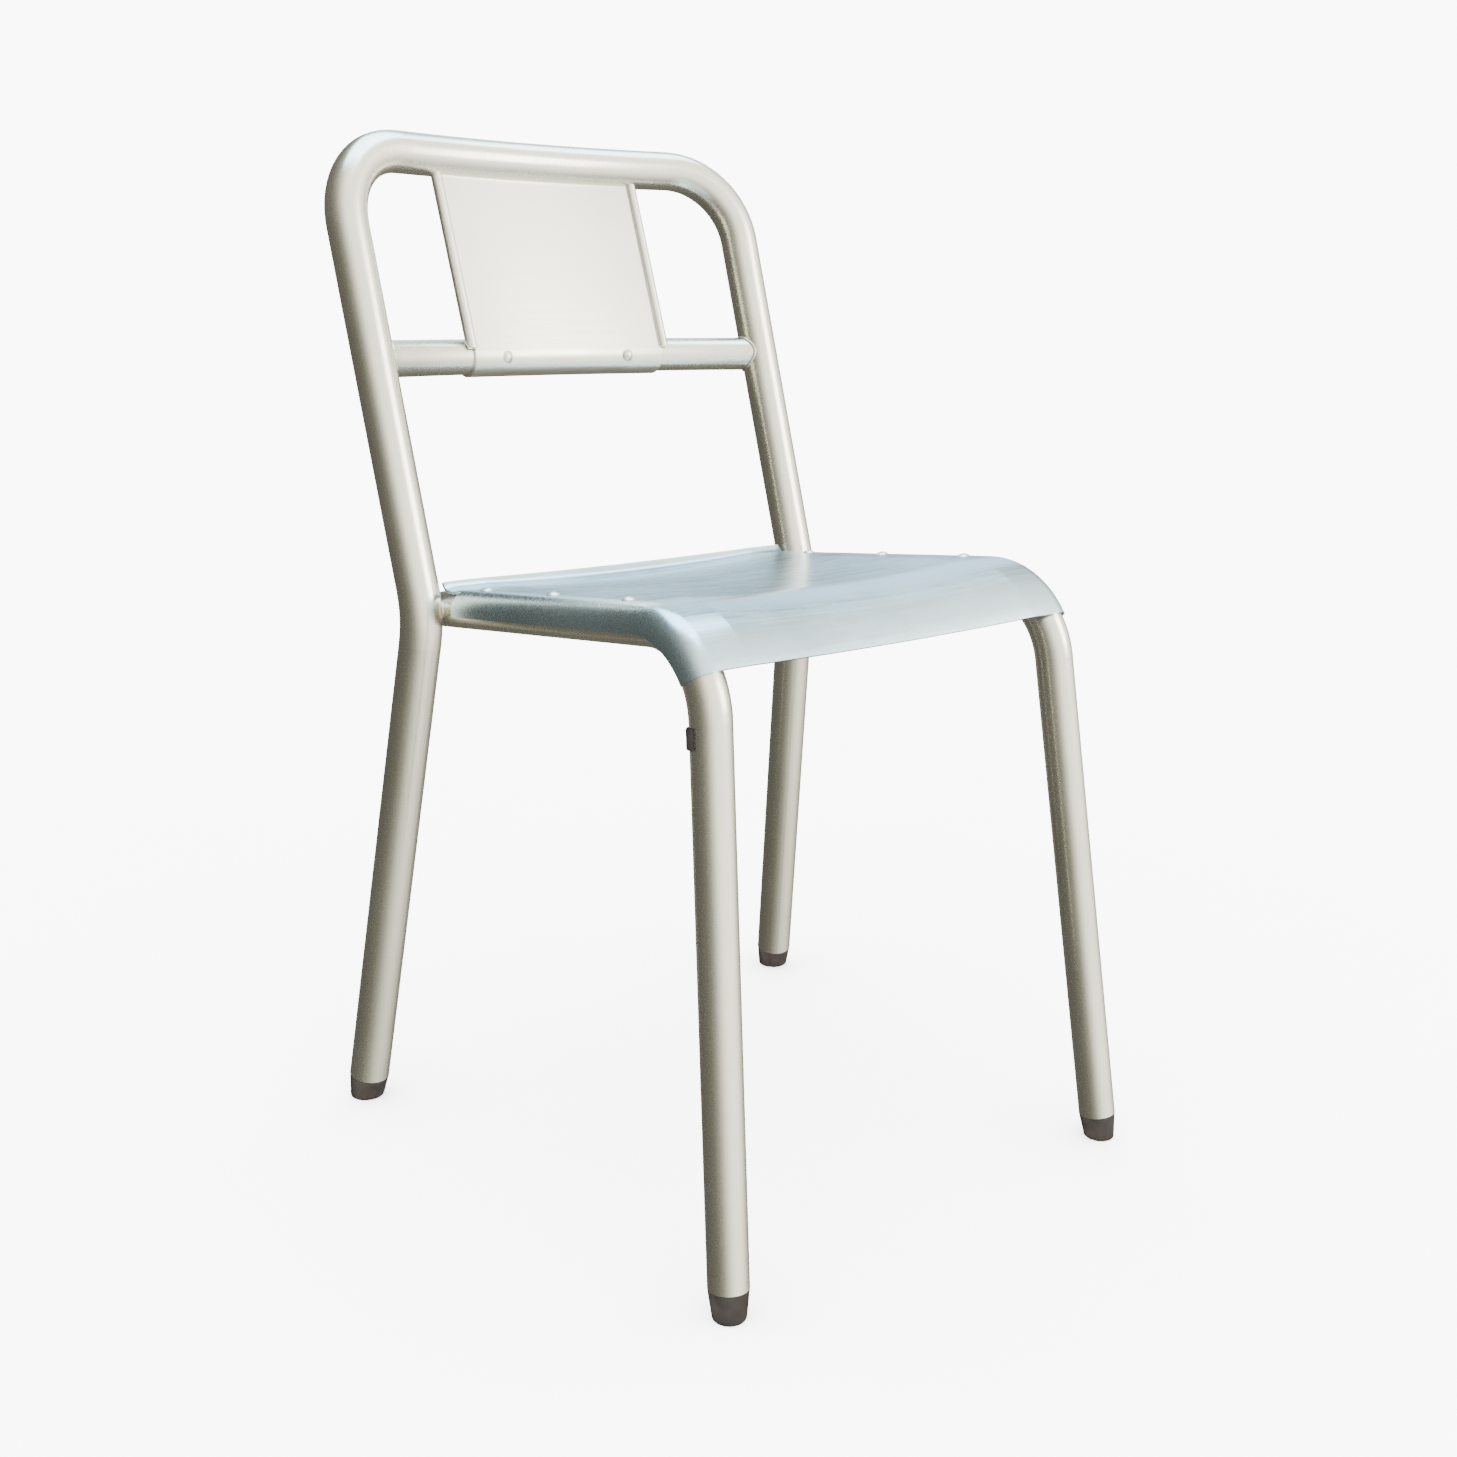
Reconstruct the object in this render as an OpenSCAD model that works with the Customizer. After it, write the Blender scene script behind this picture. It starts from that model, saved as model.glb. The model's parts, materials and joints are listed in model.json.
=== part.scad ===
// Stacking chair with a bent tube frame, a pressed metal seat and a bowed back panel.
// Millimetres. +Z is up, the sitter faces -Y and has +X on the left hand.
// The origin is on the floor, under the middle of the whole chair.

/* [Overall] */
// Height of the back's top rail above the floor, to its top
overall_height = 770; // [690:1:925]
// Height above the floor at which the front legs and the side rails would meet
seat_rail_height = 440; // [400:1:470]
// Depth on the floor, between the front and the rear foot centres
foot_depth = 434; // [370:1:520]

/* [Frame plan] */
// Width between the front foot centres
front_foot_width = 380; // [330:1:456]
// Width between the centre lines of the two side rails
rail_width = 322; // [268:1:387]
// Width between the rear foot centres
rear_foot_width = 449; // [390:1:539]
// How far the side rails' rear ends are let into the rear posts
rail_let_in = 1.5; // [1:0.1:4]
// Width between the rear posts at the top of the back
top_width = 383; // [330:1:460]
// How far the front legs lean back from foot to side rail
front_leg_rake = 56; // [30:1:80]
// How far the rear legs lean forward from foot to bend
rear_leg_rake = 70; // [40:1:95]
// How far the back leans rearward from bend to top rail
back_rake = 102; // [60:1:130]
// How much lower the side rails are at the rear posts than at the front
rail_drop = 28; // [10:1:40]
// Height of the rear posts' bend below the side rails' rear ends
kink_drop = 3; // [0:1:8]

/* [Tubes] */
// Outer diameter of the tube that makes the rear legs and the back
hoop_d = 32; // [28:0.5:36]
// Outer diameter of the front legs and their side rails
leg_d = 28; // [24:0.5:30]
// Outer diameter of the lower back rail
back_rail_d = 28; // [22:0.5:30]
// Outer diameter of the two cross rails under the seat
cross_rail_d = 22; // [18:0.5:24]
// Wall of every tube
tube_wall = 2; // [1.5:0.1:3]
// Centre line radius of the top corners of the back
corner_r = 65; // [50:1:78]
// Centre line radius of the bend beside the seat
kink_r = 90; // [60:1:108]
// Centre line radius of the bend from front leg to side rail
knee_r = 60; // [50:1:72]

/* [Back] */
// How far the two halves of the top rail, drawn straight, would meet behind the posts
top_set = 45; // [25:1:55]
// How far the lower back rail is bowed behind the posts
back_rail_bow = 40; // [25:1:48]
// Distance of the lower back rail's centre line below the top of the back
back_rail_drop = 172; // [130:1:207]
// Width of the back panel's sheet between its rolled edges
panel_width = 185; // [154:1:208]
// Thickness of the back panel's sheet
panel_sheet = 2; // [1.2:0.1:3]
// Diameter of the back panel's rolled edges
panel_roll_d = 9; // [7:0.5:12]
// How far past the lowest point the panel's hem wraps round the lower back rail, in degrees
hem_wrap = 40; // [10:1:60]
// Distance of the panel rivets from the panel's middle
panel_rivet_x = 62; // [40:1:74]

/* [Seat] */
// Thickness of the seat's sheet
seat_sheet = 2; // [1.2:0.1:3]
// Gap between the seat's sheet and the side rails below it
seat_gap = 0.3; // [0.2:0.1:1]
// How far the seat's rolled sides reach below the middle of the side rails
skirt_drop = 3; // [0:0.5:8]
// Depth of the hollow across the seat
dish_depth = 5; // [2:0.5:8]
// Distance from the middle of a side rail to the edge of the hollow across the seat
dish_margin = 26; // [20:1:60]
// Angle through which the front edge rolls down
front_roll = 62; // [50:1:70]
// Distance from the rolled sides' rear ends to the rear posts
skirt_end_gap = 8; // [5:1:14]
// Gap between the seat's rear edge and each rear post
tongue_gap = 4; // [3:0.5:8]
// Inner radius of the upturned rear edge
lip_r = 9; // [6:0.5:12]
// Angle of the upturned rear edge
lip_angle = 68; // [45:1:80]
// How far the upturned edge starts in front of the rear posts' bend
lip_setback = 8; // [4:1:16]
// Distance of the front cross rail behind the front legs
front_rail_setback = 84; // [76:1:110]
// Distance of the rear cross rail in front of the rear posts' bend
rear_rail_advance = 26; // [22:1:40]
// How far the side rails run past the rear posts' bend
rail_overrun = 14; // [8:1:20]
// Width of the stiffener's channel under the seat
stiffener_width = 46; // [36:1:60]
// Depth of the stiffener's channel
stiffener_depth = 11; // [8:0.5:14]
// Thickness of the stiffener's sheet
stiffener_sheet = 1.5; // [1:0.1:2]
// Gap between the stiffener and each cross rail
stiffener_gap = 6; // [4:1:15]
// Width of the stiffener's flanges
stiffener_flange = 12; // [8:0.5:14]

/* [Fasteners] */
// Diameter of the rivets' shanks
rivet_d = 4.8; // [4:0.1:6]
// Diameter of the rivets' heads
rivet_head_d = 10; // [8:0.5:11]
// Height of the rivets' heads
rivet_head_h = 2; // [1.5:0.1:2.5]
// Radial clearance of a shank or a peg in its hole
hole_clearance = 0.1; // [0.05:0.01:0.2]
// Number of rivets along each side of the seat
seat_rivets_per_side = 3; // [2:1:4]

/* [Feet and stacking pads] */
// Height of a foot below the end of its tube, along the leg
foot_height = 20; // [14:1:28]
// How much smaller the radius of a foot is at the floor than at its tube
foot_taper = 2.5; // [0:0.5:4]
// Length of the foot's plug inside the tube
plug_length = 18; // [12:1:26]
// Radial clearance between a plug and its tube
plug_clearance = 0.1; // [0.05:0.01:0.2]
// Height of a stacking pad along its leg
pad_height = 14; // [12:1:30]
// Thickness of a stacking pad
pad_thickness = 2; // [1.5:0.1:5]
// Angle that a stacking pad covers round its leg
pad_wrap = 80; // [60:1:150]
// Distance from the end of the front leg's bend down to a stacking pad's top
pad_drop = 2; // [0.5:0.5:20]
// Direction that a stacking pad faces, in degrees from straight outwards towards the rear
pad_facing = 40; // [0:1:90]
// Diameter of the peg that holds a stacking pad
peg_d = 5; // [4:0.5:6]

/* [Hidden] */
$fn = 64;
// Number of sides that a preview gives the wide arcs
wide_fn = 256;

// Colours
tube_color = [0.86, 0.85, 0.78];
seat_color = [0.70, 0.82, 0.88];
panel_color = [0.93, 0.93, 0.86];
rivet_color = [0.75, 0.75, 0.72];
plastic_color = [0.22, 0.18, 0.17];

// A bend stands this far out from the straight stretches, whose ends are seated in it this deep
bend_step = 0.05;
bend_seat = 0.5;
// Height of the cross rails' undersides above the side rails' undersides
cross_rail_lift = 1;
// Distance up the panel from the lower back rail's middle to the foot of its rolled edges
panel_roll_foot = 2;
// Length of a cut that only has to go right through
far = 600;

// Radii
hoop_r = hoop_d / 2;
leg_r = leg_d / 2;
back_rail_r = back_rail_d / 2;
cross_rail_r = cross_rail_d / 2;
rivet_r = rivet_d / 2;
rivet_head_r = rivet_head_d / 2;
peg_r = peg_d / 2;

// Top rail: two straight halves that would meet behind the posts, joined by one wide bend
top_z = overall_height - hoop_r;
half_top = top_width / 2;
top_slope = atan(top_set / half_top);
half_dir = [-cos(top_slope), sin(top_slope), 0];
kink_z = seat_rail_height - rail_drop - kink_drop;
kink_width = rail_width + leg_d + hoop_d - 2 * rail_let_in;
post_dir = unit([half_top - kink_width / 2, back_rake, top_z - kink_z]);
corner_tangent = corner_r * tan(angle_between(post_dir, half_dir) / 2);
top_straight = 4;
top_bow_r = (half_top / cos(top_slope) - corner_tangent - top_straight) / tan(top_slope);
top_bow = top_set - top_bow_r * (1 / cos(top_slope) - 1);

// Front-to-back place of the front feet, which puts the middle of the whole chair at y = 0
chair_depth = foot_depth - rear_leg_rake + back_rake + top_bow + hoop_r;
front_margin = leg_r - foot_taper;
front_y = (front_margin - chair_depth) / 2;

// Points of the centre lines on the +X side; the other side is a mirror image
front_foot = [front_foot_width / 2, front_y, 0];
knee = [rail_width / 2, front_y + front_leg_rake, seat_rail_height];
rear_foot = [rear_foot_width / 2, front_y + foot_depth, 0];
kink = [kink_width / 2, rear_foot[1] - rear_leg_rake, kink_z];
top_corner = [half_top, kink[1] + back_rake, top_z];
top_apex = [0, top_corner[1] + top_set, top_z];
rail_at_post = [rail_width / 2, kink[1], seat_rail_height - rail_drop];

front_leg_dir = unit(knee - front_foot);
rear_leg_dir = unit(kink - rear_foot);
rail_dir = unit(rail_at_post - knee);
rail_end = rail_at_post + rail_dir * rail_overrun;
rail_length = tenth(norm(rail_at_post - knee));
rail_pitch = atan(rail_drop / (rail_at_post[1] - knee[1]));
knee_turn = angle_between(front_leg_dir, rail_dir);
knee_tangent = knee_r * tan(knee_turn / 2);

// Lower back rail: an arc about an upright axis, which the back panel shares
back_rail_height = overall_height - back_rail_drop;
post_share = (back_rail_height - kink[2]) / (top_z - kink[2]);
post_at_rail = kink + (top_corner - kink) * post_share;
back_rail_arc_r = (pow(post_at_rail[0], 2) + pow(back_rail_bow, 2)) / (2 * back_rail_bow);
back_rail_half_angle = asin(post_at_rail[0] / back_rail_arc_r);
bow_axis_y = post_at_rail[1] + back_rail_bow - back_rail_arc_r;

// Back panel in section: distance from the bow axis, and height
rail_mid = [back_rail_arc_r, back_rail_height];
top_mid = [top_corner[1] + top_bow - bow_axis_y, top_z];
panel_run = norm(top_mid - rail_mid);
panel_offset = back_rail_r + panel_sheet / 2;
panel_lean = atan((top_mid[0] - rail_mid[0]) / (top_mid[1] - rail_mid[1])) + asin(panel_offset / panel_run);
panel_lean_dir = [sin(panel_lean), cos(panel_lean)];
panel_foot = rail_mid + [-cos(panel_lean), sin(panel_lean)] * panel_offset;
panel_head = panel_foot + panel_lean_dir * panel_run;
panel_reach = asin((panel_width / 2 + panel_roll_d) / back_rail_arc_r);

// Seat's frame: x across, y back from the knee along the side rails, z up from their centre lines
seat_under = leg_r + seat_gap;
seat_top = seat_under + seat_sheet;
// The rolled sides stand out by as much as the front legs' bends have moved sideways at the front edge
roll_shift = knee_r * (1 - cos(front_roll)) * abs(front_leg_dir[0]) / sin(knee_turn);
edge_mid = rail_width / 2 + tenth(roll_shift);
dish_width = rail_width - 2 * dish_margin;
dish_r = (pow(dish_width / 2, 2) + pow(dish_depth, 2)) / (2 * dish_depth);
roll_start = tenth(knee_tangent);
skirt_end = tenth(rail_length - hoop_r - skirt_end_gap);
lip_start = tenth(rail_length - lip_setback);
tongue_half = tenth(kink_width / 2 - hoop_r - tongue_gap);
cross_rail_z = cross_rail_r - leg_r + cross_rail_lift;
rear_rail_y = rail_length - rear_rail_advance;
rivet_margin = 24;
rivet_run = skirt_end - roll_start - 2 * rivet_margin;

function unit(v) = v / norm(v);
function tenth(v) = round(v * 10) / 10;
function angle_between(a, b) = acos(unit(a) * unit(b));
function mirror_x(p) = [-p[0], p[1], p[2]];

// Turns the z axis of something at the origin along dir, and moves it to at
module aim(at, dir) {
    translate(at) rotate([0, acos(dir[2]), atan2(dir[1], dir[0])]) children();
}

// A round bar from a to b
module rod(a, b, r) {
    aim(a, unit(b - a)) cylinder(h = norm(b - a), r = r);
}

// The bend of a round bar at b, on the way from a to c
module elbow(a, b, c, bend_r, r) {
    u = unit(b - a);
    turn = angle_between(u, c - b);
    n = unit(cross(u, c - b));
    m = cross(n, u);
    centre = b - u * bend_r * tan(turn / 2) + m * bend_r;
    multmatrix([
        [-m[0], u[0], n[0], centre[0]],
        [-m[1], u[1], n[1], centre[1]],
        [-m[2], u[2], n[2], centre[2]],
        [0, 0, 0, 1]
    ])
        rotate_extrude(angle = turn, $fn = wide_fn) translate([bend_r, 0]) circle(r = r, $fn = 64);
}

// A round bar through the points, with a bend of radius bends[i] at each inner point
module bent_rod(points, bends, r) {
    last = len(points) - 1;
    trims = [
        for (i = [0 : last])
            i == 0 || i == last ? 0
            : bends[i] * tan(angle_between(points[i] - points[i - 1], points[i + 1] - points[i]) / 2) - bend_seat
    ];
    for (i = [0 : last - 1]) {
        way = unit(points[i + 1] - points[i]);
        rod(points[i] + way * trims[i], points[i + 1] - way * trims[i + 1], r);
    }
    for (i = [1 : last - 1]) elbow(points[i - 1], points[i], points[i + 1], bends[i], r + bend_step);
}

// A bent tube: the bar less a thinner bar that runs out of both ends
module bent_tube(points, bends, r) {
    last = len(points) - 1;
    before = points[0] + unit(points[0] - points[1]);
    after = points[last] + unit(points[last] - points[last - 1]);
    inner = [for (i = [0 : last]) i == 0 ? before : i == last ? after : points[i]];
    difference() {
        bent_rod(points, bends, r);
        bent_rod(inner, bends, r - tube_wall);
    }
}

// Both sides of something modelled on the +X side
module both_sides() {
    children();
    mirror([1, 0, 0]) children();
}

// Places something in the seat's frame
module seat_frame() {
    translate([0, knee[1], knee[2]]) rotate([-rail_pitch, 0, 0]) children();
}

// Places something about the bow axis, turned by angle from straight back towards +X
module about_bow_axis(angle) {
    translate([0, bow_axis_y, 0]) rotate([0, 0, 90 - angle]) children();
}

// A rivet along z, whose head stands on z = 0 and whose tail is below z = -grip
module rivet(grip) {
    dome_r = (pow(rivet_head_r, 2) + pow(rivet_head_h, 2)) / (2 * rivet_head_h);
    tail_h = 2.5;
    tail_r = rivet_r + 1;
    rotate_extrude() {
        intersection() {
            translate([0, rivet_head_h - dome_r]) circle(r = dome_r);
            square([rivet_head_r + 1, rivet_head_h + 1]);
        }
        translate([0, -grip - 1]) square([rivet_r, grip + 2]);
        translate([0, -grip - tail_h]) square([tail_r, tail_h]);
    }
}

// ---- Tube frame ----

hoop_start = rear_foot + rear_leg_dir * foot_height;
hoop_points = [
    hoop_start, kink, top_corner, top_apex, mirror_x(top_corner), mirror_x(kink), mirror_x(hoop_start)
];
hoop_bends = [0, kink_r, corner_r, top_bow_r, corner_r, kink_r, 0];
side_points = [front_foot + front_leg_dir * foot_height, knee, rail_end];
side_bends = [0, knee_r, 0];

// The rear legs, the posts and the top rail are one tube
module back_hoop() {
    color(tube_color) bent_tube(hoop_points, hoop_bends, hoop_r);
}

// A front leg and its side rail are one tube, which is seated against the rear post's inner side
module front_leg() {
    difference() {
        bent_tube(side_points, side_bends, leg_r);
        bent_rod([rear_foot, kink, top_corner], [0, kink_r, 0], hoop_r);
        seat_frame() seat_rivet_places() cylinder(h = far, r = rivet_r + hole_clearance);
        pad_place() peg_bar(peg_r + hole_clearance);
    }
}

module left_front_leg() {
    color(tube_color) front_leg();
}

module right_front_leg() {
    color(tube_color) mirror([1, 0, 0]) front_leg();
}

// A cross rail between the side rails, at y in the seat's frame
module cross_rail(y) {
    half = rail_width / 2;
    color(tube_color)
        difference() {
            seat_frame() rod([-half, y, cross_rail_z], [half, y, cross_rail_z], cross_rail_r);
            seat_frame() rod([-far, y, cross_rail_z], [far, y, cross_rail_z], cross_rail_r - tube_wall);
            both_sides() rod(knee, rail_end, leg_r);
        }
}

module front_cross_rail() {
    cross_rail(front_rail_setback);
}

module rear_cross_rail() {
    cross_rail(rear_rail_y);
}

module back_rail_arc(r, half_angle) {
    about_bow_axis(half_angle)
        rotate_extrude(angle = 2 * half_angle, $fn = wide_fn) translate(rail_mid) circle(r = r, $fn = 64);
}

module lower_back_rail() {
    color(tube_color)
        difference() {
            back_rail_arc(back_rail_r, back_rail_half_angle);
            back_rail_arc(back_rail_r - tube_wall, back_rail_half_angle + 1);
            both_sides() rod(kink, top_corner, hoop_r);
            panel_rivet_places() cylinder(h = far, r = rivet_r + hole_clearance);
        }
}

// Plug in the open rear end of a side rail
module rail_plug() {
    plug_r = leg_r - tube_wall - plug_clearance;
    cap_h = 2.5;
    plug_h = 12;
    color(plastic_color)
        aim(rail_end, rail_dir) {
            cylinder(h = cap_h, r = leg_r - 0.5);
            translate([0, 0, -plug_h]) cylinder(h = plug_h + 1, r = plug_r);
        }
}

module left_rail_plug() {
    rail_plug();
}

module right_rail_plug() {
    mirror([1, 0, 0]) rail_plug();
}

// ---- Back panel ----

// Places something on the front of the lower back rail, with z pointing forwards
module panel_rivet_places() {
    for (side = [-1, 1])
        about_bow_axis(side * asin(panel_rivet_x / back_rail_arc_r))
            translate([back_rail_arc_r, 0, back_rail_height]) rotate([0, -90, 0]) children();
}

// The panel's sheet in section: it wraps the lower back rail and runs up to the top rail
module panel_section() {
    difference() {
        translate(rail_mid) circle(r = back_rail_r + panel_sheet + bend_step);
        translate(rail_mid) circle(r = back_rail_r + bend_step);
        translate(rail_mid) rotate(-panel_lean) translate([-far, 0]) square([2 * far, far]);
        translate(rail_mid) rotate(hem_wrap - 90) square([far, far]);
    }
    translate(rail_mid)
        rotate(-panel_lean)
            translate([-back_rail_r - panel_sheet, -bend_seat])
                square([panel_sheet, panel_run + bend_seat]);
}

// A point of the panel's middle surface, at half_width to the side of the panel's middle
function panel_point(at, half_width) = [
    half_width,
    bow_axis_y + sqrt(pow(at[0], 2) - pow(half_width, 2)),
    at[1]
];

// The rolled edge on the +X side, from the lower back rail to the top rail
module panel_roll() {
    bite = panel_sheet * 0.9;
    middle = panel_width / 2 + panel_roll_d / 2 - bite;
    rod(
        panel_point(panel_foot + panel_lean_dir * panel_roll_foot, middle),
        panel_point(panel_head, middle),
        panel_roll_d / 2
    );
}

// Everything beyond the panel's edge on the +X side
module beyond_panel_edge() {
    translate([panel_width / 2, bow_axis_y, back_rail_height - far / 2]) cube([far, 2 * far, far]);
}

module back_panel() {
    color(panel_color)
        difference() {
            union() {
                difference() {
                    about_bow_axis(panel_reach)
                        rotate_extrude(angle = 2 * panel_reach, $fn = wide_fn) panel_section();
                    both_sides() beyond_panel_edge();
                }
                difference() {
                    both_sides() panel_roll();
                    back_rail_arc(back_rail_r + panel_sheet / 2, back_rail_half_angle);
                }
            }
            bent_rod([top_corner, top_apex, mirror_x(top_corner)], [0, top_bow_r, 0], hoop_r);
            panel_rivet_places() cylinder(h = far, r = rivet_r + hole_clearance);
        }
}

module panel_rivets() {
    stand_off = 0.05;
    grip = panel_sheet + tube_wall + stand_off + 0.6;
    color(rivet_color)
        panel_rivet_places() translate([0, 0, back_rail_r + panel_sheet + stand_off]) rivet(grip);
}

// ---- Seat ----

// Everything below the seat's upper face, drawn in by inset
module seat_outline(inset) {
    edge = seat_top - inset;
    difference() {
        union() {
            translate([-edge_mid - edge, -far]) square([2 * (edge_mid + edge), far]);
            translate([-edge_mid, -far]) square([2 * edge_mid, far + edge]);
            for (side = [-1, 1]) translate([side * edge_mid, 0]) circle(r = edge);
        }
        translate([0, seat_top - dish_depth + dish_r]) circle(r = dish_r + inset, $fn = wide_fn);
    }
}

module seat_section() {
    difference() {
        seat_outline(0);
        seat_outline(seat_sheet);
        translate([-far, -skirt_drop - far]) square([2 * far, far]);
    }
}

// The part of the seat's section that passes between the rear posts
module tongue_section() {
    intersection() {
        seat_section();
        translate([-tongue_half, seat_under - dish_depth - 1]) square([2 * tongue_half, far]);
    }
}

// The front edge rolls down round the bends of the front legs
module seat_front_roll() {
    translate([0, roll_start, -knee_r])
        rotate(a = 180, v = [1, 0, 1])
            rotate_extrude(angle = front_roll, $fn = wide_fn) translate([knee_r, 0]) rotate(-90) seat_section();
}

module seat_rear_lip() {
    axis_z = seat_top + lip_r;
    translate([0, lip_start, axis_z])
        rotate([0, 90, 0])
            rotate_extrude(angle = lip_angle) translate([axis_z, 0]) rotate(90) tongue_section();
}

// Places something at each seat rivet on the +X side, with z pointing up
module seat_rivet_places() {
    for (i = [0 : seat_rivets_per_side - 1])
        translate([rail_width / 2, roll_start + rivet_margin + i * rivet_run / (seat_rivets_per_side - 1), 0])
            children();
}

module seat_shell() {
    notch = far - skirt_end;
    color(seat_color)
        seat_frame() {
            difference() {
                translate([0, lip_start, 0])
                    rotate([90, 0, 0]) linear_extrude(lip_start - roll_start) seat_section();
                both_sides() translate([tongue_half, skirt_end, -far / 2]) cube([far, notch, far]);
                both_sides() translate([0, skirt_end, seat_under - dish_depth - 1 - far]) cube([far, notch, far]);
                both_sides() seat_rivet_places() cylinder(h = far, r = rivet_r + hole_clearance);
            }
            seat_front_roll();
            seat_rear_lip();
        }
}

module seat_rivets() {
    grip = seat_sheet + seat_gap + tube_wall + 0.7;
    color(rivet_color)
        seat_frame() both_sides() seat_rivet_places() translate([0, 0, seat_top]) rivet(grip);
}

// A channel with two flanges, open upwards, under the lowest part of the seat
module seat_stiffener() {
    front = front_rail_setback + cross_rail_r + stiffener_gap;
    back = rear_rail_y - cross_rail_r - stiffener_gap;
    half = stiffener_width / 2;
    top = seat_under - dish_depth - 0.05;
    color(seat_color)
        seat_frame()
            translate([0, back, top])
                rotate([90, 0, 0])
                    linear_extrude(back - front)
                        difference() {
                            union() {
                                translate([-half - stiffener_flange, -stiffener_sheet])
                                    square([2 * (half + stiffener_flange), stiffener_sheet]);
                                translate([-half, -stiffener_depth]) square([2 * half, stiffener_depth]);
                            }
                            translate([stiffener_sheet - half, stiffener_sheet - stiffener_depth])
                                square([2 * (half - stiffener_sheet), stiffener_depth]);
                        }
}

// ---- Stacking pads ----

// Places something on the +X front leg, with z along the leg and x where the pad faces
module pad_place() {
    at = knee - front_leg_dir * (knee_tangent + pad_drop + pad_height / 2);
    aim(at, front_leg_dir)
        rotate([0, 0, pad_facing - atan2(front_leg_dir[1], front_leg_dir[0])]) children();
}

// The bar of the peg, from inside the tube out to the pad
module peg_bar(r) {
    peg_length = tube_wall + 3;
    translate([leg_r + 1 - peg_length, 0, 0]) rotate([0, 90, 0]) cylinder(h = peg_length, r = r);
}

module stacking_pad() {
    skin_gap = 0.05;
    bevel = pad_thickness / 3;
    inner = leg_r + skin_gap;
    outer = leg_r + pad_thickness;
    half = pad_height / 2;
    color(plastic_color)
        pad_place() {
            rotate([0, 0, -pad_wrap / 2])
                rotate_extrude(angle = pad_wrap)
                    polygon([
                        [inner, -half], [outer - bevel, -half], [outer, bevel - half],
                        [outer, half - bevel], [outer - bevel, half], [inner, half]
                    ]);
            peg_bar(peg_r);
        }
}

module left_stacking_pad() {
    stacking_pad();
}

module right_stacking_pad() {
    mirror([1, 0, 0]) stacking_pad();
}

// ---- Feet ----

// A foot at the end of a tube that leans along dir: a cap below, a plug inside, flat on the floor
module foot(at, dir, tube_r) {
    plug_root = 2;
    below = 20;
    taper_r = foot_taper * below / foot_height;
    // The turn keeps the seams of the round faces away from the ends of the floor cut's ellipse
    seam_turn = 45;
    color(plastic_color)
        difference() {
            aim(at, dir)
                rotate([0, 0, seam_turn]) {
                    translate([0, 0, -below])
                        cylinder(h = below + foot_height, r1 = tube_r - foot_taper - taper_r, r2 = tube_r);
                    translate([0, 0, foot_height - plug_root])
                        cylinder(h = plug_length + plug_root, r = tube_r - tube_wall - plug_clearance);
                }
            translate([-far, -far, -far]) cube([2 * far, 2 * far, far]);
        }
}

module left_front_foot() {
    foot(front_foot, front_leg_dir, leg_r);
}

module right_front_foot() {
    mirror([1, 0, 0]) foot(front_foot, front_leg_dir, leg_r);
}

module left_rear_foot() {
    foot(rear_foot, rear_leg_dir, hoop_r);
}

module right_rear_foot() {
    mirror([1, 0, 0]) foot(rear_foot, rear_leg_dir, hoop_r);
}

back_hoop();
left_front_leg();
right_front_leg();
lower_back_rail();
rear_cross_rail();
front_cross_rail();
back_panel();
panel_rivets();
seat_shell();
seat_stiffener();
seat_rivets();
left_rail_plug();
right_rail_plug();
left_stacking_pad();
right_stacking_pad();
left_front_foot();
right_front_foot();
left_rear_foot();
right_rear_foot();
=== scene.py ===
"""Looks of the stacking chair: aluminium finishes, made pieces, plain floor, studio light and camera."""

import json
import math

import bpy
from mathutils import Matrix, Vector


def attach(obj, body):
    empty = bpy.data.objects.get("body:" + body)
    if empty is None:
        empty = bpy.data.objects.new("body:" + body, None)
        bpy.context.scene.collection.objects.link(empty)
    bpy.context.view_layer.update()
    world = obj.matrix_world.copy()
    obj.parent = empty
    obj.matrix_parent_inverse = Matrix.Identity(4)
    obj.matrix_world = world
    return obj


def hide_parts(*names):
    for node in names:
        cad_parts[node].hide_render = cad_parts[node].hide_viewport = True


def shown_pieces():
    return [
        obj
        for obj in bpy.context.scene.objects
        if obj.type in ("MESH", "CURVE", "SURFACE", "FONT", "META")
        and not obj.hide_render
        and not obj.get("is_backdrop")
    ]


MM = 0.001

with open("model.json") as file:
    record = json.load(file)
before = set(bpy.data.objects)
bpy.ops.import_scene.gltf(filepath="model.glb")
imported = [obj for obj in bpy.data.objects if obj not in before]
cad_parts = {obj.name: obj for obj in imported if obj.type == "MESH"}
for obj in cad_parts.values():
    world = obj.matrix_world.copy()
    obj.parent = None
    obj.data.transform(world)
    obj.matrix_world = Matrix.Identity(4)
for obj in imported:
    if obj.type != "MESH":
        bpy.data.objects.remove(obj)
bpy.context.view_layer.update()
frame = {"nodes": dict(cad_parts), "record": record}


# ---- Node helpers ----


def new_material(name):
    """An empty node material with a Principled shader, and its node tree."""
    made = bpy.data.materials.new(name)
    made.use_nodes = True
    tree = made.node_tree
    return made, tree, tree.nodes["Principled BSDF"]


def link(tree, source, target):
    tree.links.new(source, target)


def object_coords(tree, stretch=(1, 1, 1)):
    """Object coordinates, stretched, as a vector output."""
    coords = tree.nodes.new("ShaderNodeTexCoord")
    mapping = tree.nodes.new("ShaderNodeMapping")
    mapping.inputs["Scale"].default_value = stretch
    link(tree, coords.outputs["Object"], mapping.inputs["Vector"])
    return mapping.outputs["Vector"]


def noise(tree, vector, scale, detail=4.0, rough=0.55):
    node = tree.nodes.new("ShaderNodeTexNoise")
    node.inputs["Scale"].default_value = scale
    node.inputs["Detail"].default_value = detail
    node.inputs["Roughness"].default_value = rough
    link(tree, vector, node.inputs["Vector"])
    return node.outputs["Fac"]


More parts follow.
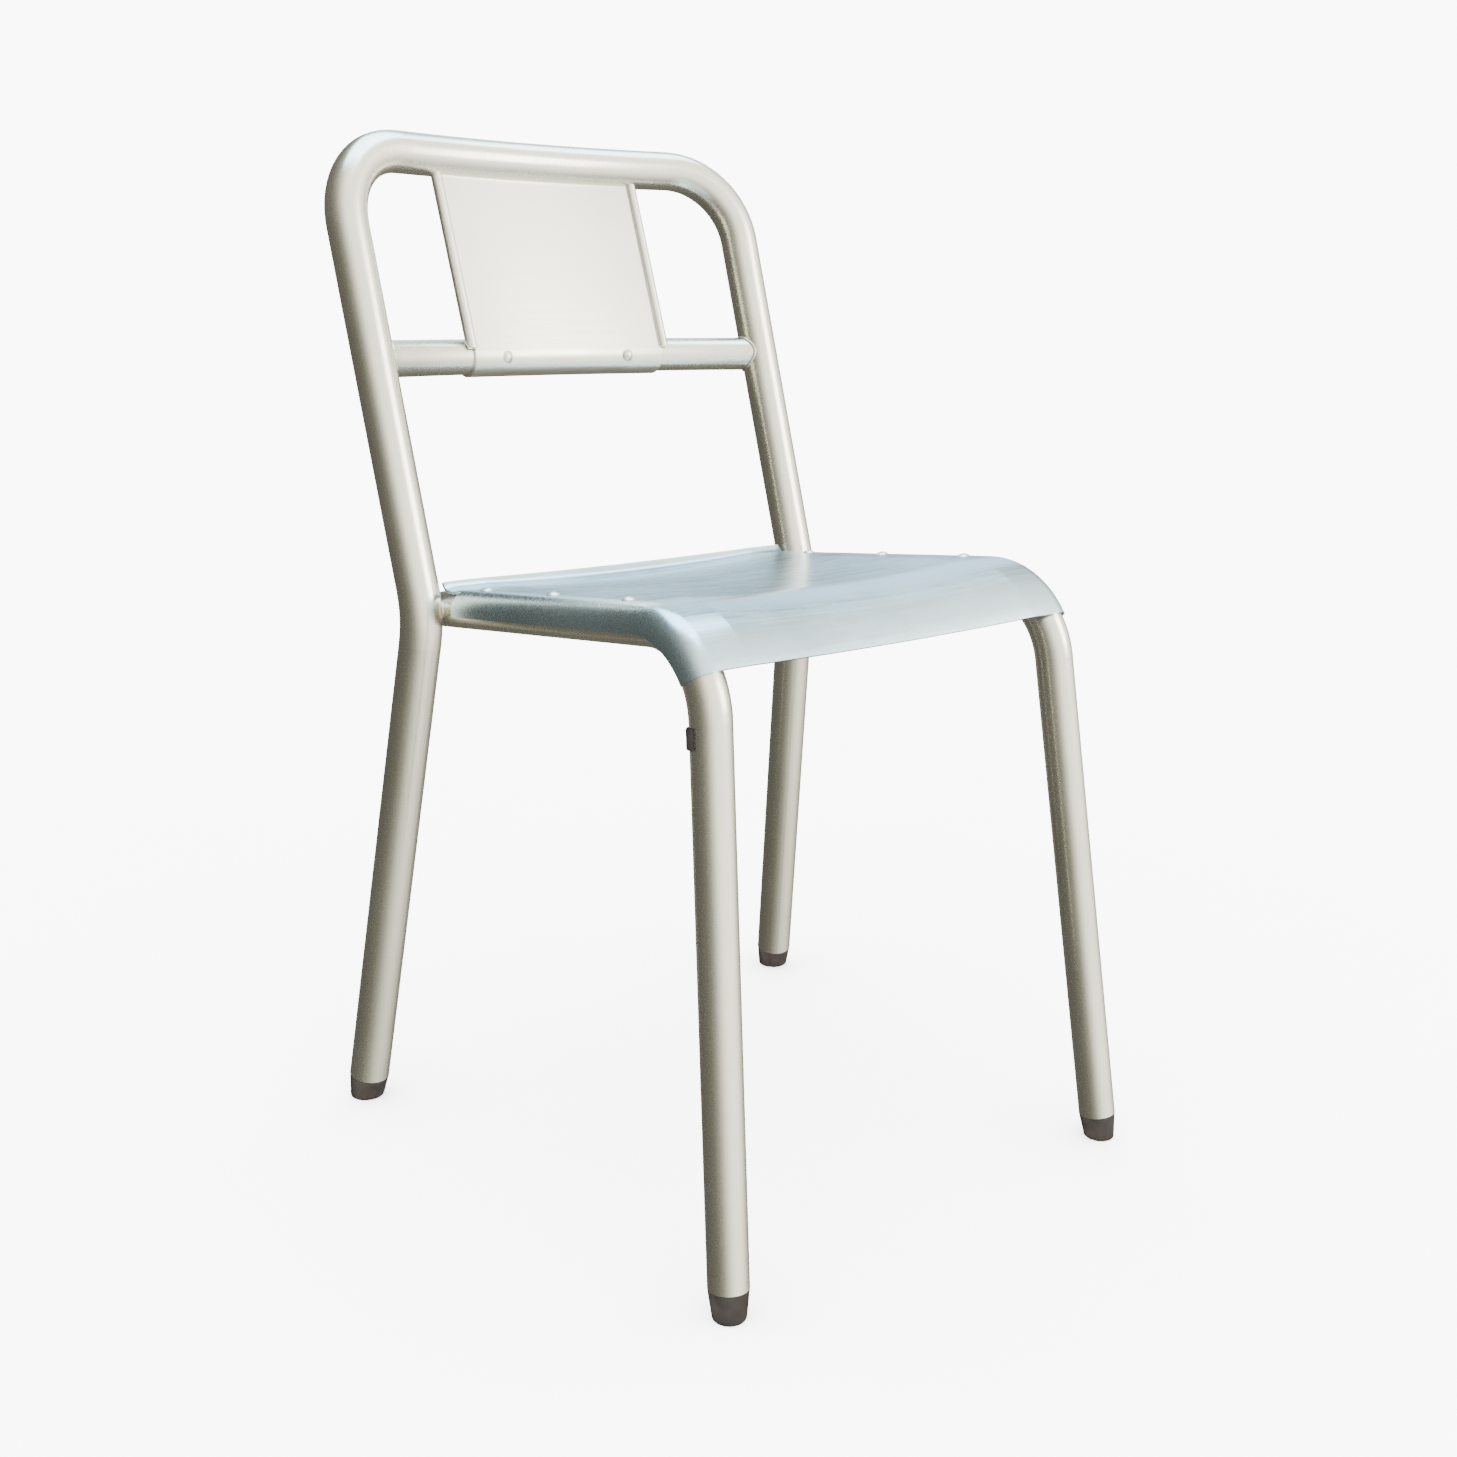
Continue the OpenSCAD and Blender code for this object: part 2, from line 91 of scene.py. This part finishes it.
def spread(tree, value, low, high, start=0.3, end=0.7):
    """A 0 to 1 value moved onto the range from low to high."""
    node = tree.nodes.new("ShaderNodeMapRange")
    node.inputs["From Min"].default_value = start
    node.inputs["From Max"].default_value = end
    node.inputs["To Min"].default_value = low
    node.inputs["To Max"].default_value = high
    link(tree, value, node.inputs["Value"])
    return node.outputs["Result"]


def ramp(tree, value, stops):
    """A colour ramp; stops are (position, (r, g, b))."""
    node = tree.nodes.new("ShaderNodeValToRGB")
    points = node.color_ramp.elements
    while len(points) < len(stops):
        points.new(0.5)
    for point, (position, colour) in zip(points, stops):
        point.position = position
        point.color = (*colour, 1.0)
    link(tree, value, node.inputs["Fac"])
    return node.outputs["Color"]


def bump(tree, shader, height, strength, distance):
    node = tree.nodes.new("ShaderNodeBump")
    node.inputs["Strength"].default_value = strength
    node.inputs["Distance"].default_value = distance
    link(tree, height, node.inputs["Height"])
    link(tree, node.outputs["Normal"], shader.inputs["Normal"])


# ---- Materials ----


# Sizes of the procedural marks, in noise cells per metre, and how much smudges count beside the grain
SMUDGE_SCALE = 7.0
GRAIN_SCALE = 420.0
SCUFF_SCALE = 60.0
SMUDGE_SHARE = 0.6
# Depth of the grain in metres
TUBE_GRAIN = 0.000008
SHEET_GRAIN = 0.000015
WELD_GRAIN = 0.00006


def metal(name, light, shade, grain, rough, depth=TUBE_GRAIN):
    """Satin aluminium: drawn or brushed grain, faint smudges in colour and roughness."""
    made, tree, shader = new_material(name)
    shader.inputs["Metallic"].default_value = 1.0
    smudge = noise(tree, object_coords(tree), SMUDGE_SCALE, 5.0)
    fine = noise(tree, object_coords(tree, grain), GRAIN_SCALE, 3.0, 0.5)
    link(tree, ramp(tree, smudge, [(0.3, shade), (0.62, light)]), shader.inputs["Base Color"])
    wear = tree.nodes.new("ShaderNodeMath")
    wear.operation = "MULTIPLY_ADD"
    wear.inputs[1].default_value = SMUDGE_SHARE
    link(tree, smudge, wear.inputs[0])
    link(tree, fine, wear.inputs[2])
    link(tree, spread(tree, wear.outputs[0], *rough, 0.5, 1.1), shader.inputs["Roughness"])
    bump(tree, shader, fine, 0.2, depth)
    return made


def moulded(name, light, shade, rough, grit):
    """Moulded plastic or rubber: fine grain and scuffs."""
    made, tree, shader = new_material(name)
    shader.inputs["Specular IOR Level"].default_value = 0.2
    scuff = noise(tree, object_coords(tree), SCUFF_SCALE, 5.0)
    fine = noise(tree, object_coords(tree), grit, 3.0)
    link(tree, ramp(tree, scuff, [(0.35, shade), (0.7, light)]), shader.inputs["Base Color"])
    link(tree, spread(tree, scuff, *rough), shader.inputs["Roughness"])
    bump(tree, shader, fine, 0.35, 0.0001)
    return made


# How the grain is stretched: not at all, or into streaks across the chair
EVEN = (1, 1, 1)
ACROSS = (0.03, 1, 1)
FINISHES = {
    "tube_aluminium": metal(
        "tube_aluminium", (0.90, 0.88, 0.79), (0.80, 0.78, 0.69), EVEN, (0.20, 0.32)
    ),
    # The seat's pale blue base colour is a painted reflection of blue sky light, laid over the aluminium's
    # own silver
    "seat_aluminium": metal(
        "seat_aluminium", (0.63, 0.80, 0.91), (0.50, 0.65, 0.75), ACROSS, (0.20, 0.36), SHEET_GRAIN
    ),
    "panel_aluminium": metal(
        "panel_aluminium", (0.95, 0.94, 0.85), (0.89, 0.88, 0.79), ACROSS, (0.26, 0.40), SHEET_GRAIN
    ),
    "rivet_aluminium": metal(
        "rivet_aluminium", (0.82, 0.82, 0.78), (0.70, 0.70, 0.66), EVEN, (0.24, 0.40)
    ),
    "dark_plastic": moulded(
        "dark_plastic", (0.012, 0.009, 0.008), (0.007, 0.005, 0.005), (0.42, 0.62), 900.0
    ),
    "foot_rubber": moulded(
        "foot_rubber", (0.014, 0.010, 0.008), (0.008, 0.006, 0.005), (0.55, 0.8), 700.0
    ),
}
WELD_METAL = metal(
    "weld_metal", (0.80, 0.79, 0.73), (0.60, 0.59, 0.55), EVEN, (0.30, 0.48), WELD_GRAIN
)


def finish_cad_nodes():
    """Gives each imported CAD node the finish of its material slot."""
    slot_of = {entry["node"]: entry["material_slot"] for entry in frame["record"]["subparts"]}
    for name, node in frame["nodes"].items():
        node.data.materials.clear()
        node.data.materials.append(FINISHES[slot_of[name]])


# ---- The frame's centre lines, in metres ----


def unturned(point):
    return point


def mirrored(point):
    return Vector((-point.x, point.y, point.z))


SIDES = (("left", unturned), ("right", mirrored))

# Points on the sitter's left, as in the part's source
FRONT_FOOT = Vector((190.0, -250.13, 0.0)) * MM
KNEE = Vector((161.0, -194.13, 440.0)) * MM
REAR_FOOT = Vector((224.5, 183.87, 0.0)) * MM
KINK = Vector((189.5, 113.87, 409.0)) * MM
TOP_CORNER = Vector((191.5, 215.87, 754.0)) * MM
RAIL_AT_POST = Vector((161.0, 113.87, 412.0)) * MM
BACK_RAIL_HEIGHT = 598.0 * MM
BACK_RAIL_BOW = 40.0 * MM
HOOP_R = 16.0 * MM
LEG_R = 14.0 * MM
BACK_RAIL_R = 14.0 * MM
CROSS_RAIL_R = 11.0 * MM
KINK_R = 90.0 * MM
# How far the cross rails lie below the side rails' middles, and how far back from the knees
CROSS_RAIL_SINK = 2.0 * MM
CROSS_RAIL_PLACES = {"front": 84.0 * MM, "rear": 283.3 * MM}
FRONT_LEG_WAY = (KNEE - FRONT_FOOT).normalized()
REAR_LEG_WAY = (KINK - REAR_FOOT).normalized()
POST_WAY = (TOP_CORNER - KINK).normalized()
RAIL_WAY = (RAIL_AT_POST - KNEE).normalized()


# ---- Made pieces ----


def ring_mesh(name, rings, closed):
    """A mesh through rings of equally many points.

    closed joins the last ring to the first; otherwise both ends are capped.
    """
    count = len(rings[0])
    points = [point for ring in rings for point in ring]
    spans = len(rings) if closed else len(rings) - 1
    faces = []
    for i in range(spans):
        here, there = i * count, (i + 1) % len(rings) * count
        for j in range(count):
            k = (j + 1) % count
            faces.append((here + j, here + k, there + k, there + j))
    if not closed:
        faces.append(tuple(reversed(range(count))))
        faces.append(tuple(range(len(points) - count, len(points))))
    mesh = bpy.data.meshes.new(name)
    mesh.from_pydata([tuple(point) for point in points], [], faces)
    mesh.validate()
    mesh.update()
    for face in mesh.polygons:
        face.use_smooth = True
    piece = bpy.data.objects.new(name, mesh)
    bpy.context.collection.objects.link(piece)
    return piece


def finished(piece, material):
    """The piece with its material, riding on the chair's one body."""
    piece.data.materials.append(material)
    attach(piece, "root")
    return piece


SEAM_STEPS = 72
BEAD_SIDES = 10
# Radii of the beads at the two back rail ends, at the side rails' ends and at the cross rails' ends
BEAD_R = 1.5 * MM
SIDE_RAIL_BEAD_R = 1.2 * MM
CROSS_RAIL_BEAD_R = 1.3 * MM
BEAD_RIPPLE = 0.22 * MM
BEAD_PITCH = 3.0 * MM


def seam(thin, thick):
    """The closed line where a thin tube's surface enters a thick tube's. A tube is (point, way, radius).

    Tubes that only touch side by side meet on part of the thin tube, so their line goes there and back.
    """
    at, way, r = thin
    base, axis, big_r = thick
    u = way.orthogonal().normalized()
    v = way.cross(u)
    across = way - axis * way.dot(axis)
    near, far = [], []
    for i in range(SEAM_STEPS):
        turn = math.tau * i / SEAM_STEPS
        start = at + (u * math.cos(turn) + v * math.sin(turn)) * r
        off = start - base
        off = off - axis * off.dot(axis)
        a, b, c = across.dot(across), off.dot(across), off.dot(off) - big_r**2
        room = b * b - a * c
        if room < 0:
            continue
        near.append((turn, start + way * ((-b - math.sqrt(room)) / a)))
        far.append((turn, start + way * ((-b + math.sqrt(room)) / a)))
    if len(near) == SEAM_STEPS:
        return [point for _, point in near]
    gap = 2 * math.tau / SEAM_STEPS
    breaks = [i for i in range(len(near)) if near[i][0] - near[i - 1][0] > gap]
    first = breaks[0] if breaks else 0
    near, far = near[first:] + near[:first], far[first:] + far[:first]
    return [point for _, point in near] + [point for _, point in reversed(far)]


def weld_bead(name, thin, thick, bead_r=BEAD_R):
    """A rippled bead of weld metal along the seam of two tubes."""
    line = seam(thin, thick)
    count = len(line)
    middle = sum(line, Vector()) / count
    length = sum((line[i] - line[i - 1]).length for i in range(count))
    waves = round(length / BEAD_PITCH)
    rings = []
    for i, point in enumerate(line):
        way = (line[(i + 1) % count] - line[i - 1]).normalized()
        out = point - middle
        out = (out - way * out.dot(way)).normalized()
        side = way.cross(out)
        r = bead_r + BEAD_RIPPLE * math.sin(math.tau * waves * i / count)
        turns = [math.tau * j / BEAD_SIDES for j in range(BEAD_SIDES)]
        rings.append([point + (out * math.cos(turn) + side * math.sin(turn)) * r for turn in turns])
    return finished(ring_mesh(name, rings, True), WELD_METAL)


def weld_beads():
    """The beads where tubes of the frame are welded to each other."""
    # The middle of the rear tube's bend is this far behind the point where its straight stretches would meet
    bend_cut = KINK_R * (1 / math.cos(REAR_LEG_WAY.angle(POST_WAY) / 2) - 1)
    post_middle = KINK + Vector((0, bend_cut, 0))
    post_way = (REAR_LEG_WAY + POST_WAY).normalized()
    share = (BACK_RAIL_HEIGHT - KINK.z) / (TOP_CORNER.z - KINK.z)
    rail_end = KINK + (TOP_CORNER - KINK) * share
    arc_r = (rail_end.x**2 + BACK_RAIL_BOW**2) / (2 * BACK_RAIL_BOW)
    half_angle = math.asin(rail_end.x / arc_r)
    rail_way = Vector((math.cos(half_angle), -math.sin(half_angle), 0))
    pitch = math.atan2(KNEE.z - RAIL_AT_POST.z, RAIL_AT_POST.y - KNEE.y)
    for side, turned in SIDES:
        post = (turned(post_middle), turned(post_way), HOOP_R)
        rail = (turned(KNEE), turned(RAIL_WAY), LEG_R)
        weld_bead(f"{side}_rail_weld", rail, post, SIDE_RAIL_BEAD_R)
        back_rail = (turned(rail_end - rail_way * 3 * HOOP_R), turned(rail_way), BACK_RAIL_R)
        straight_post = (turned(rail_end), turned(POST_WAY), HOOP_R)
        weld_bead(f"{side}_back_rail_weld", back_rail, straight_post)
        for end, run in CROSS_RAIL_PLACES.items():
            middle = Vector((
                0,
                KNEE.y + run * math.cos(pitch) - CROSS_RAIL_SINK * math.sin(pitch),
                KNEE.z - run * math.sin(pitch) - CROSS_RAIL_SINK * math.cos(pitch),
            ))
            cross_rail = (middle, turned(Vector((1, 0, 0))), CROSS_RAIL_R)
            weld_bead(f"{side}_{end}_cross_rail_weld", cross_rail, rail, CROSS_RAIL_BEAD_R)


FOOT_HEIGHT = 20.0 * MM
FOOT_TAPER = 2.5 * MM
FOOT_SIDES = 64
# The hollow under a foot, as (share of the radius, height above the floor)
FOOT_RECESS = [(0.52, 1.5 * MM), (0.58, 1.2 * MM), (0.62, 0.0)]
# The rounded edge at the floor and the groove at the tube, as (share of the height, share of the radius)
FOOT_EDGE = [(0.0, 0.90), (0.012, 0.945), (0.035, 0.98), (0.075, 0.997), (0.12, 1.0)]
FOOT_MOUTH = [(0.5, 1.0), (0.93, 1.0), (0.965, 0.99), (0.98, 0.96), (1.0, 0.95)]


def shaped_foot(name, at, way, tube_r):
    """A moulded foot: recessed below, rounded at the floor, tapered, with a narrow groove under its tube."""
    u = way.orthogonal().normalized()
    v = way.cross(u)
    lower_r = tube_r - FOOT_TAPER
    rulings = []
    for j in range(FOOT_SIDES):
        turn = math.tau * j / FOOT_SIDES
        spoke = u * math.cos(turn) + v * math.sin(turn)
        top = at + way * FOOT_HEIGHT + spoke * tube_r
        low = at + spoke * lower_r
        slope = (top - low) / (top.z - low.z)
        rulings.append((low - slope * low.z, top))
    rings = []
    for share, height in FOOT_RECESS:
        lift = Vector((0, 0, height))
        rings.append([at + (low - at) * share + lift for low, _ in rulings])
    for t, share in FOOT_EDGE + FOOT_MOUTH:
        axis = at + way * (FOOT_HEIGHT * t)
        ring = [low + (top - low) * t for low, top in rulings]
        rings.append([axis + (point - axis) * share for point in ring])
    for ring in rings[len(FOOT_RECESS):]:
        for point in ring:
            point.z = max(point.z, 0.0)
    piece = finished(ring_mesh(f"shaped_{name}", rings, False), FINISHES["foot_rubber"])
    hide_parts(name)


def shaped_feet():
    for side, turned in SIDES:
        shaped_foot(f"{side}_front_foot", turned(FRONT_FOOT), turned(FRONT_LEG_WAY), LEG_R)
        shaped_foot(f"{side}_rear_foot", turned(REAR_FOOT), turned(REAR_LEG_WAY), HOOP_R)


# ---- Floor, light, camera ----

# The floor's mean albedo. The surround that the camera sees is scaled by it, so that the two look alike.
FLOOR_PALENESS = 0.88
FLOOR_SIZE = 60
AMBIENT = 11.0
# The direction in which the room that the metal reflects is brightest
BRIGHT_SIDE = (0.36, -0.82, 0.45)
ROOM_STRENGTH = 2.6
# The reflected room, from the side away from the light to the side towards it
ROOM = [
    (0.0, (0.05, 0.05, 0.042)),
    (0.30, (0.075, 0.073, 0.060)),
    (0.52, (0.16, 0.155, 0.13)),
    (0.68, (0.42, 0.41, 0.35)),
    (0.84, (0.90, 0.88, 0.76)),
    (0.95, (1.0, 0.98, 0.87)),
]


def make_floor():
    """A plain matt floor that the chair's metal doesn't reflect."""
    bpy.ops.mesh.primitive_plane_add(size=FLOOR_SIZE)
    floor = bpy.context.object
    floor.name = "floor"
    made, tree, shader = new_material("floor_paint")
    clouds = noise(tree, object_coords(tree), 3.0)
    paint = ramp(tree, clouds, [(0.3, (0.87, 0.87, 0.865)), (0.7, (0.89, 0.89, 0.885))])
    link(tree, paint, shader.inputs["Base Color"])
    shader.inputs["Roughness"].default_value = 0.9
    shader.inputs["Specular IOR Level"].default_value = 0.0
    floor.data.materials.append(made)
    floor.visible_glossy = False
    floor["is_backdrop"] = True


def softbox(name, place, aim, size, power, colour, lit):
    """An area light that lights only what the collection lit holds."""
    light = bpy.data.lights.new(name, "AREA")
    light.shape = "RECTANGLE"
    light.size, light.size_y = size
    light.energy = power
    light.color = colour
    box = bpy.data.objects.new(name, light)
    bpy.context.collection.objects.link(box)
    box.location = place
    box.rotation_euler = (Vector(aim) - Vector(place)).to_track_quat("-Z", "Y").to_euler()
    box.visible_camera = False
    box.light_linking.receiver_collection = lit


def dot_with(tree, vector, direction):
    """How far a vector points along a direction, from -1 to 1."""
    node = tree.nodes.new("ShaderNodeVectorMath")
    node.operation = "DOT_PRODUCT"
    node.inputs[1].default_value = Vector(direction).normalized()
    link(tree, vector, node.inputs[0])
    return node.outputs["Value"]


def make_world():
    """An even pale surround. Reflections see a room that is bright on one side and dark on the other."""
    world = bpy.data.worlds.new("studio")
    bpy.context.scene.world = world
    world.use_nodes = True
    world.cycles.sampling_method = "NONE"
    tree = world.node_tree
    tree.nodes.clear()
    out = tree.nodes.new("ShaderNodeOutputWorld")
    path = tree.nodes.new("ShaderNodeLightPath")
    coords = tree.nodes.new("ShaderNodeTexCoord")
    towards = dot_with(tree, coords.outputs["Generated"], BRIGHT_SIDE)
    room = ramp(tree, spread(tree, towards, 0.0, 1.0, -1.0, 1.0), ROOM)
    shades = [(room, ROOM_STRENGTH), (None, AMBIENT), (None, AMBIENT * FLOOR_PALENESS)]
    backgrounds = []
    for colour, strength in shades:
        node = tree.nodes.new("ShaderNodeBackground")
        node.inputs["Color"].default_value = (1, 1, 1, 1)
        node.inputs["Strength"].default_value = strength
        if colour:
            link(tree, colour, node.inputs["Color"])
        backgrounds.append(node.outputs[0])
    reflected, surface, seen = backgrounds
    for flag, other in (("Is Glossy Ray", reflected), ("Is Camera Ray", seen)):
        mix = tree.nodes.new("ShaderNodeMixShader")
        link(tree, path.outputs[flag], mix.inputs[0])
        link(tree, surface, mix.inputs[1])
        link(tree, other, mix.inputs[2])
        surface = mix.outputs[0]
    link(tree, surface, out.inputs["Surface"])


def make_lights():
    """A warm key in front, a cool rim behind and a blue overhead, on the chair only."""
    middle = (0, 0, 0.4)
    chair = bpy.data.collections.new("chair")
    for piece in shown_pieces():
        chair.objects.link(piece)
    softbox("key_front_right", (1.9, -2.3, 1.5), middle, (1.5, 1.7), 60, (1.0, 0.97, 0.88), chair)
    softbox("rim_back_right", (2.2, 2.6, 1.9), middle, (2.6, 2.0), 30, (0.62, 0.84, 1.0), chair)
    softbox("overhead", (0.5, 0.5, 3.0), middle, (2.2, 2.2), 105, (0.58, 0.83, 1.0), chair)


# Where the photographer stood and looked, in metres and degrees
CAMERA_PLACE = (-0.775, -0.9588, 0.6239)
CAMERA_DOWN = 14.1
CAMERA_TURN = -39.5
CAMERA_LENS = 39.8
CAMERA_SENSOR = 36.0


def make_camera():
    """Stands in front of the chair on the sitter's right, and looks slightly down."""
    data = bpy.data.cameras.new("camera")
    data.sensor_width = CAMERA_SENSOR
    data.lens = CAMERA_LENS
    camera = bpy.data.objects.new("camera", data)
    bpy.context.collection.objects.link(camera)
    camera.location = CAMERA_PLACE
    camera.rotation_euler = (math.radians(90 - CAMERA_DOWN), 0, math.radians(CAMERA_TURN))
    bpy.context.scene.camera = camera


finish_cad_nodes()
weld_beads()
shaped_feet()
make_floor()
make_world()
make_lights()
make_camera()
